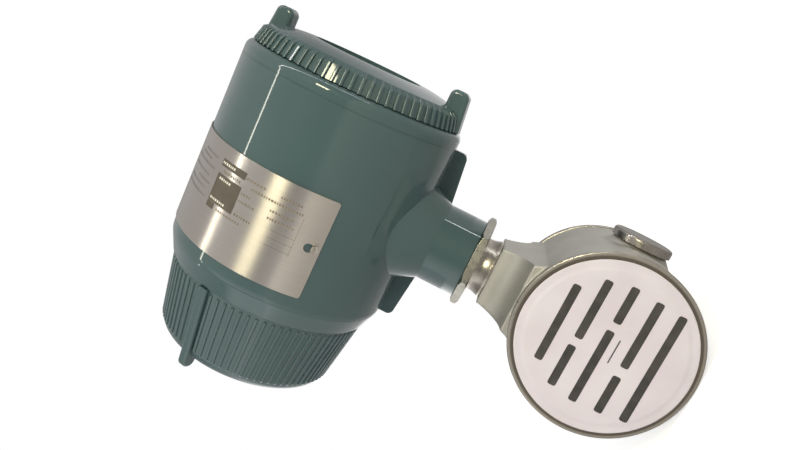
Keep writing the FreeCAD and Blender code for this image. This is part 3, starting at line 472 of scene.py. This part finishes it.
def on_plate(along, round_place, lift):
    turn = round_place / (PLATE_RADIUS / MM)
    radius = PLATE_RADIUS + INK_LIFT + lift
    return (-radius * math.cos(turn), along * MM, DRUM_Z + radius * math.sin(turn))


def plate_field(rear, front, high, low, corner=0.3):
    """A field between two places along the drum and two angles round it."""
    return ((rear + front) / 2, (high + low) / 2 * DEGREE, rear - front, (high - low) * DEGREE, corner)


def plate_row(along, high, low, width=1.3, dash=1.3, gap=0.55):
    """A line of short dashes round the drum, from a high angle down to a low one."""
    marks = []
    place = high * DEGREE
    while place - dash > low * DEGREE:
        length = dash * (0.55 + 0.45 * math.sin(2.4 * len(marks) + along) ** 2)
        marks.append((along, place - length / 2, width, length, 0.15))
        place -= length + gap
    return marks


def plate_rows(*rows):
    return [mark for row in rows for mark in plate_row(*row)]


table_lines = [plate_field(y + HALF_LINE, y - HALF_LINE, -3.0, -14.5, LINE_CORNER) for y in TABLE_LINES]
table_lines.append(plate_field(27.6, 5.2, -14.4, -14.6, LINE_CORNER))
PLATE_PRINT = {
    "plate_fields": (field_ink, [plate_field(21.7, 6.2, 32.7, 16.6), plate_field(2.1, -1.9, 32.7, 16.6),
                                 plate_field(25.4, 21.9, 32.7, 27.5)]),
    "plate_table": (row_ink, table_lines),
    "plate_rows": (row_ink, plate_rows(
        (24.1, 25.5, 9.7), (20.5, 15.4, 5.3), (13, 15.8, 6.1), (8.9, 15.8, 9.7), (13.3, 0.4, -13.7),
        (9.2, 0.4, -12.1), (4.3, 29.9, 18.2), (4.3, 12.1, -14.1), (0.5, 15.8, 5.3), (0.5, -2, -13.3))),
    "plate_faint_rows": (faint_ink, plate_rows(
        (22.4, 62, 36), (18.6, 60, 37), (15.2, 49, 35), (11.4, 60, 38), (6.7, 61, 36), (3.3, 56, 41),
        (0.5, 52, 36))),
    "plate_light_rows": (light_ink, plate_rows((19.9, 31.9, 21.0), (8.4, 30.7, 21.8), (0.1, 32.1, 23.0))),
}
for level, (name, (material, fields)) in enumerate(PLATE_PRINT.items()):
    laid = printed(fields, lambda along, turn: on_plate(along, turn, level * PRINT_STEP), PLATE_CELL)
    mesh_piece(name, *laid, material, "converter", "black_plastic", True)


# Threads of the covers and of the cable entries
# Half widths of a ridge at its foot and its flat top, in pitches, and its fading in and out, in turns
THREAD_FOOT = 0.42
THREAD_TOP = 0.1
THREAD_FADE = 0.25


def thread(name, axis, centre, radius, crest, start, length, pitch, body, steps=120):
    """A fine ridge wound round a line; a crest nearer the line than the radius makes an inner thread."""
    count = int(length / pitch * steps)
    along = Vector((1, 0, 0)) if axis == 0 else Vector((0, 1, 0))
    side = Vector((0, 0, 1))
    other = along.cross(side)
    points = []
    faces = []
    for step in range(count + 1):
        turn = 2 * math.pi * step / steps
        out = side * math.cos(turn) + other * math.sin(turn)
        place = start + pitch * step / steps
        fade = min(1, step / (THREAD_FADE * steps), (count - step) / (THREAD_FADE * steps))
        top = radius + (crest - radius) * fade
        ridge = ((-THREAD_FOOT, radius), (-THREAD_TOP, top), (THREAD_TOP, top), (THREAD_FOOT, radius))
        for offset, reach in ridge:
            points.append(Vector(centre) + along * (place + offset * pitch) + out * reach)
    for step in range(count):
        first = 4 * step
        for edge in range(3):
            faces.append((first + edge, first + edge + 1, first + edge + 5, first + edge + 4))
    return mesh_piece(name, points, faces, by_slot["paint"], body, "paint", True)


# For each cover the radius of its spigot and the start of the thread along Y
COVER_THREADS = {"front": (56.6 * MM, -60.5 * MM), "rear": (55.0 * MM, 54.7 * MM)}
COVER_CREST = 0.3 * MM
COVER_LENGTH = 11 * MM
COVER_PITCH = 2.0 * MM
PORT_CREST = 0.7 * MM
PORT_LENGTH = 14 * MM
PORT_PITCH = 1.5 * MM
PORT_STEPS = 60
for side, (radius, start) in COVER_THREADS.items():
    thread(side + "_cover_thread", axis=1, centre=(0, 0, DRUM_Z), radius=radius, crest=radius + COVER_CREST,
           start=start, length=COVER_LENGTH, pitch=COVER_PITCH, body=side + "_cover")
for mount in record["mounts"]:
    if mount["kind"] == "threaded_hole":
        x, y, z = mount["pos_m"]
        radius = mount["dims"]["r_mm"] * MM
        name = mount["name"].replace("cable_port", "port_thread")
        thread(name, axis=0, centre=(0, y, z), radius=radius, crest=radius - PORT_CREST,
               start=x - PORT_LENGTH / 2, length=PORT_LENGTH, pitch=PORT_PITCH, body="converter",
               steps=PORT_STEPS)

# Display: resting segments of two rows of figures behind the window, in millimetres from its middle
# Each row: number of figures, place of the first, step to the next, height above the middle, size
FIGURE_ROWS = [(6, -20, 8, 4.5, 9), (8, -21, 6, -7.5, 5)]
DISPLAY_CELL = 0.6
lcd_low, lcd_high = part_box("lcd_module")
lcd_middle = (lcd_low.z + lcd_high.z) / 2


def figure(across, up, height):
    width = 0.5 * height
    stroke = 0.13 * height
    corner = 0.3 * stroke
    upright = 0.5 * height - 1.2 * stroke
    marks = [(across, up + rise * height / 2, width - 1.3 * stroke, stroke, corner) for rise in (-1, 0, 1)]
    for side in (-1, 1):
        for rise in (-1, 1):
            marks.append((across + side * width / 2, up + rise * height / 4, stroke, upright, corner))
    return marks


def on_display(across, up):
    return (across * MM, lcd_low.y - INK_LIFT, lcd_middle + up * MM)


segments = []
for count, first, step, up, height in FIGURE_ROWS:
    for number in range(count):
        segments += figure(first + step * number, up, height)
mesh_piece("display_segments", *printed(segments, on_display, DISPLAY_CELL), resting_ink, "converter", "lcd")

# Studio: white to the camera, while glossy surfaces mirror a dim room, a pale tent and a glow at the rear
ROOM_LEVEL = 0.22
ROOM_RISE = 0.45
GLOW_LEVEL = 1.0
GLOW_START = 0.25
GLOW_FULL = 0.9
WALL_LEVEL = 0.28
WALL_TOP = 0.3
CROWN_LEVEL = 0.6
CROWN_START = 0.85
HORIZON_RISE = 0.45
HORIZON_HEIGHT = 0.22
TENT_OPENING = (1.0, 0.103, 0.227)
TENT_EDGE = (-0.26, -0.14)
SOFT_LEVEL = 0.52


def rear_glow(nodes, rearward):
    return nodes.spread(rearward, 0, GLOW_LEVEL, GLOW_START, GLOW_FULL, smooth=True)


def seen_ray(nodes, rays):
    return nodes.math("MAXIMUM", rays["Is Camera Ray"], rays["Is Transmission Ray"])


def make_studio():
    studio = bpy.data.worlds.new("studio")
    bpy.context.scene.world = studio
    studio.use_nodes = True
    studio.node_tree.nodes.clear()
    nodes = Nodes(studio.node_tree)

    def background(level):
        return nodes.add("Background", {"Color": WHITE, "Strength": level}).outputs[0]

    rays = nodes.add("LightPath").outputs
    direction = nodes.add("TexCoord").outputs["Generated"]
    compass = nodes.split(direction)
    height = compass["Z"]
    dim = nodes.spread(height, ROOM_LEVEL, ROOM_LEVEL + ROOM_RISE, 0, 1)
    room = nodes.math("ADD", dim, rear_glow(nodes, compass["Y"]))
    square = nodes.math("MULTIPLY", height, height)
    band = nodes.math("EXPONENT", nodes.math("MULTIPLY", square, -1 / HORIZON_HEIGHT ** 2))
    crown = nodes.spread(height, WALL_LEVEL, CROWN_LEVEL, WALL_TOP, CROWN_START, smooth=True)
    tent = nodes.math("MULTIPLY_ADD", band, HORIZON_RISE, crown)
    facing = nodes.add("VectorMath", {0: direction, 1: TENT_OPENING}, operation="DOT_PRODUCT")
    mirrored = background(nodes.spread(facing.outputs["Value"], room, tent, *TENT_EDGE, smooth=True))
    soft = background(SOFT_LEVEL)
    unseen = nodes.add("MixShader", {0: rays["Is Glossy Ray"], 1: soft, 2: mirrored}).outputs[0]
    white = background(1.0)
    shown = nodes.add("MixShader", {0: seen_ray(nodes, rays), 1: unseen, 2: white}).outputs[0]
    nodes.add("OutputWorld", {"Surface": shown})


FLOOR_GAP = 0.5 * MM
FLOOR_HALF = 15.0
FLOOR_LEVEL = 0.58
FAR_START = 0.4
FAR_FULL = 1.4
FLOOR_GLOW_START = 0.2
FLOOR_GLOW_FULL = 1.2
FLOOR_COLOUR = (0.80, 0.80, 0.80)
NEAR_MIRROR_COLOUR = (0.55, 0.54, 0.55)


def lay_floor():
    mesh = bpy.data.meshes.new("floor")
    level = cad_box[0][2] - FLOOR_GAP
    corners = [(x * FLOOR_HALF, y * FLOOR_HALF, level) for x, y in ((-1, -1), (1, -1), (1, 1), (-1, 1))]
    mesh.from_pydata(corners, [], [(0, 1, 2, 3)])
    floor = bpy.data.objects.new("floor", mesh)
    bpy.context.scene.collection.objects.link(floor)
    paper = Finish("floor_paper", Roughness=0.9, Emission_Color=WHITE)
    rays = paper.add("LightPath").outputs
    glossy = rays["Is Glossy Ray"]
    far = paper.spread(paper.split(paper.place)["X"], 0, 1, FAR_START, FAR_FULL)
    lit = paper.math("MAXIMUM", seen_ray(paper, rays), paper.math("MULTIPLY", glossy, far))
    outward = paper.add("VectorMath", {0: paper.place}, operation="NORMALIZE").outputs["Vector"]
    distance = paper.add("VectorMath", {0: paper.place}, operation="LENGTH").outputs["Value"]
    reach = paper.spread(distance, 0, 1, FLOOR_GLOW_START, FLOOR_GLOW_FULL)
    glow = paper.math("MULTIPLY", rear_glow(paper, paper.split(outward)["Y"]), reach)
    strength = paper.math("MULTIPLY_ADD", lit, FLOOR_LEVEL, paper.math("MULTIPLY", glossy, glow))
    paper.feed(paper.shader.inputs["Emission Strength"], strength)
    near = paper.math("MULTIPLY", glossy, paper.math("SUBTRACT", 1.0, far))
    paper.colour(near, FLOOR_COLOUR, NEAR_MIRROR_COLOUR, 0, 1)
    dress(floor, paper.material)


make_studio()
lay_floor()

# Lamps and camera
CAMERA_PLACE = (-0.406874, -0.090239, 0.091321)
CAMERA_RIGHT = (0.17108, -0.423217, -0.88973)
CAMERA_UP = (0.158216, -0.879523, 0.448784)
CAMERA_BACK = (-0.972471, -0.217548, -0.083509)
LENS = 31.984
SENSOR = 36
WARM = (1, 0.95, 0.65)
CREAM = (1, 0.97, 0.84)
STRIP = 0.035
ALONG_Y = (0, 1, 0)
ALONG_Z = (0, 0, 1)


def aimed(right, up, back, place):
    return Matrix((*zip(right, up, back, place), (0, 0, 0, 1)))


def lamp(name, target, direction, distance, size, radiance, along, colour=(1, 1, 1), mirrored=True):
    """A rectangular lamp that faces a point, its long side along a given direction."""
    data = bpy.data.lights.new(name, "AREA")
    data.shape = "RECTANGLE"
    data.size, data.size_y = size
    data.energy = radiance * math.pi * size[0] * size[1]
    data.color = colour
    back = Vector(direction).normalized()
    side = Vector(along)
    side = (side - side.dot(back) * back).normalized()
    light = bpy.data.objects.new(name, data)
    light.matrix_world = aimed(side, back.cross(side), back, Vector(target) + back * distance)
    light.visible_camera = False
    light.visible_glossy = mirrored
    bpy.context.scene.collection.objects.link(light)


lamp("top_strip", target=(-0.06, -0.02, 0.2), direction=(-0.42, 0.13, 0.9), distance=1.2, size=(1.1, STRIP),
     radiance=14, along=ALONG_Y, colour=CREAM)
lamp("side_strip", target=(-0.02, -0.02, 0.09), direction=(-0.1, -0.99, 0.02), distance=1.2,
     size=(0.8, STRIP), radiance=18, along=ALONG_Z)
lamp("corner_strip", target=(-0.04, -0.05, 0.18), direction=(-0.31, -0.756, 0.716), distance=1.0,
     size=(1.2, STRIP), radiance=18, along=(0.423, -0.786, -0.764))
lamp("key", target=(-0.06, -0.02, 0.18), direction=(-0.87, -0.4, 0.3), distance=1.2, size=(0.3, 0.28),
     radiance=26, along=ALONG_Y, colour=WARM)
lamp("front_fill", target=(-0.02, 0, 0.12), direction=CAMERA_BACK, distance=1.3, size=(1.2, 1.2),
     radiance=0.35, along=ALONG_Z, mirrored=False)
lamp("rear_fill", target=(-0.06, 0.02, 0.14), direction=(-0.62, 0.78, 0.05), distance=1.2, size=(1.0, 1.0),
     radiance=1.85, along=ALONG_Z, mirrored=False)

view = bpy.data.cameras.new("view")
view.sensor_width = SENSOR
view.lens = LENS
camera = bpy.data.objects.new("view", view)
camera.matrix_world = aimed(CAMERA_RIGHT, CAMERA_UP, CAMERA_BACK, CAMERA_PLACE)
bpy.context.scene.collection.objects.link(camera)
bpy.context.scene.camera = camera
bpy.context.scene.view_settings.view_transform = "Standard"
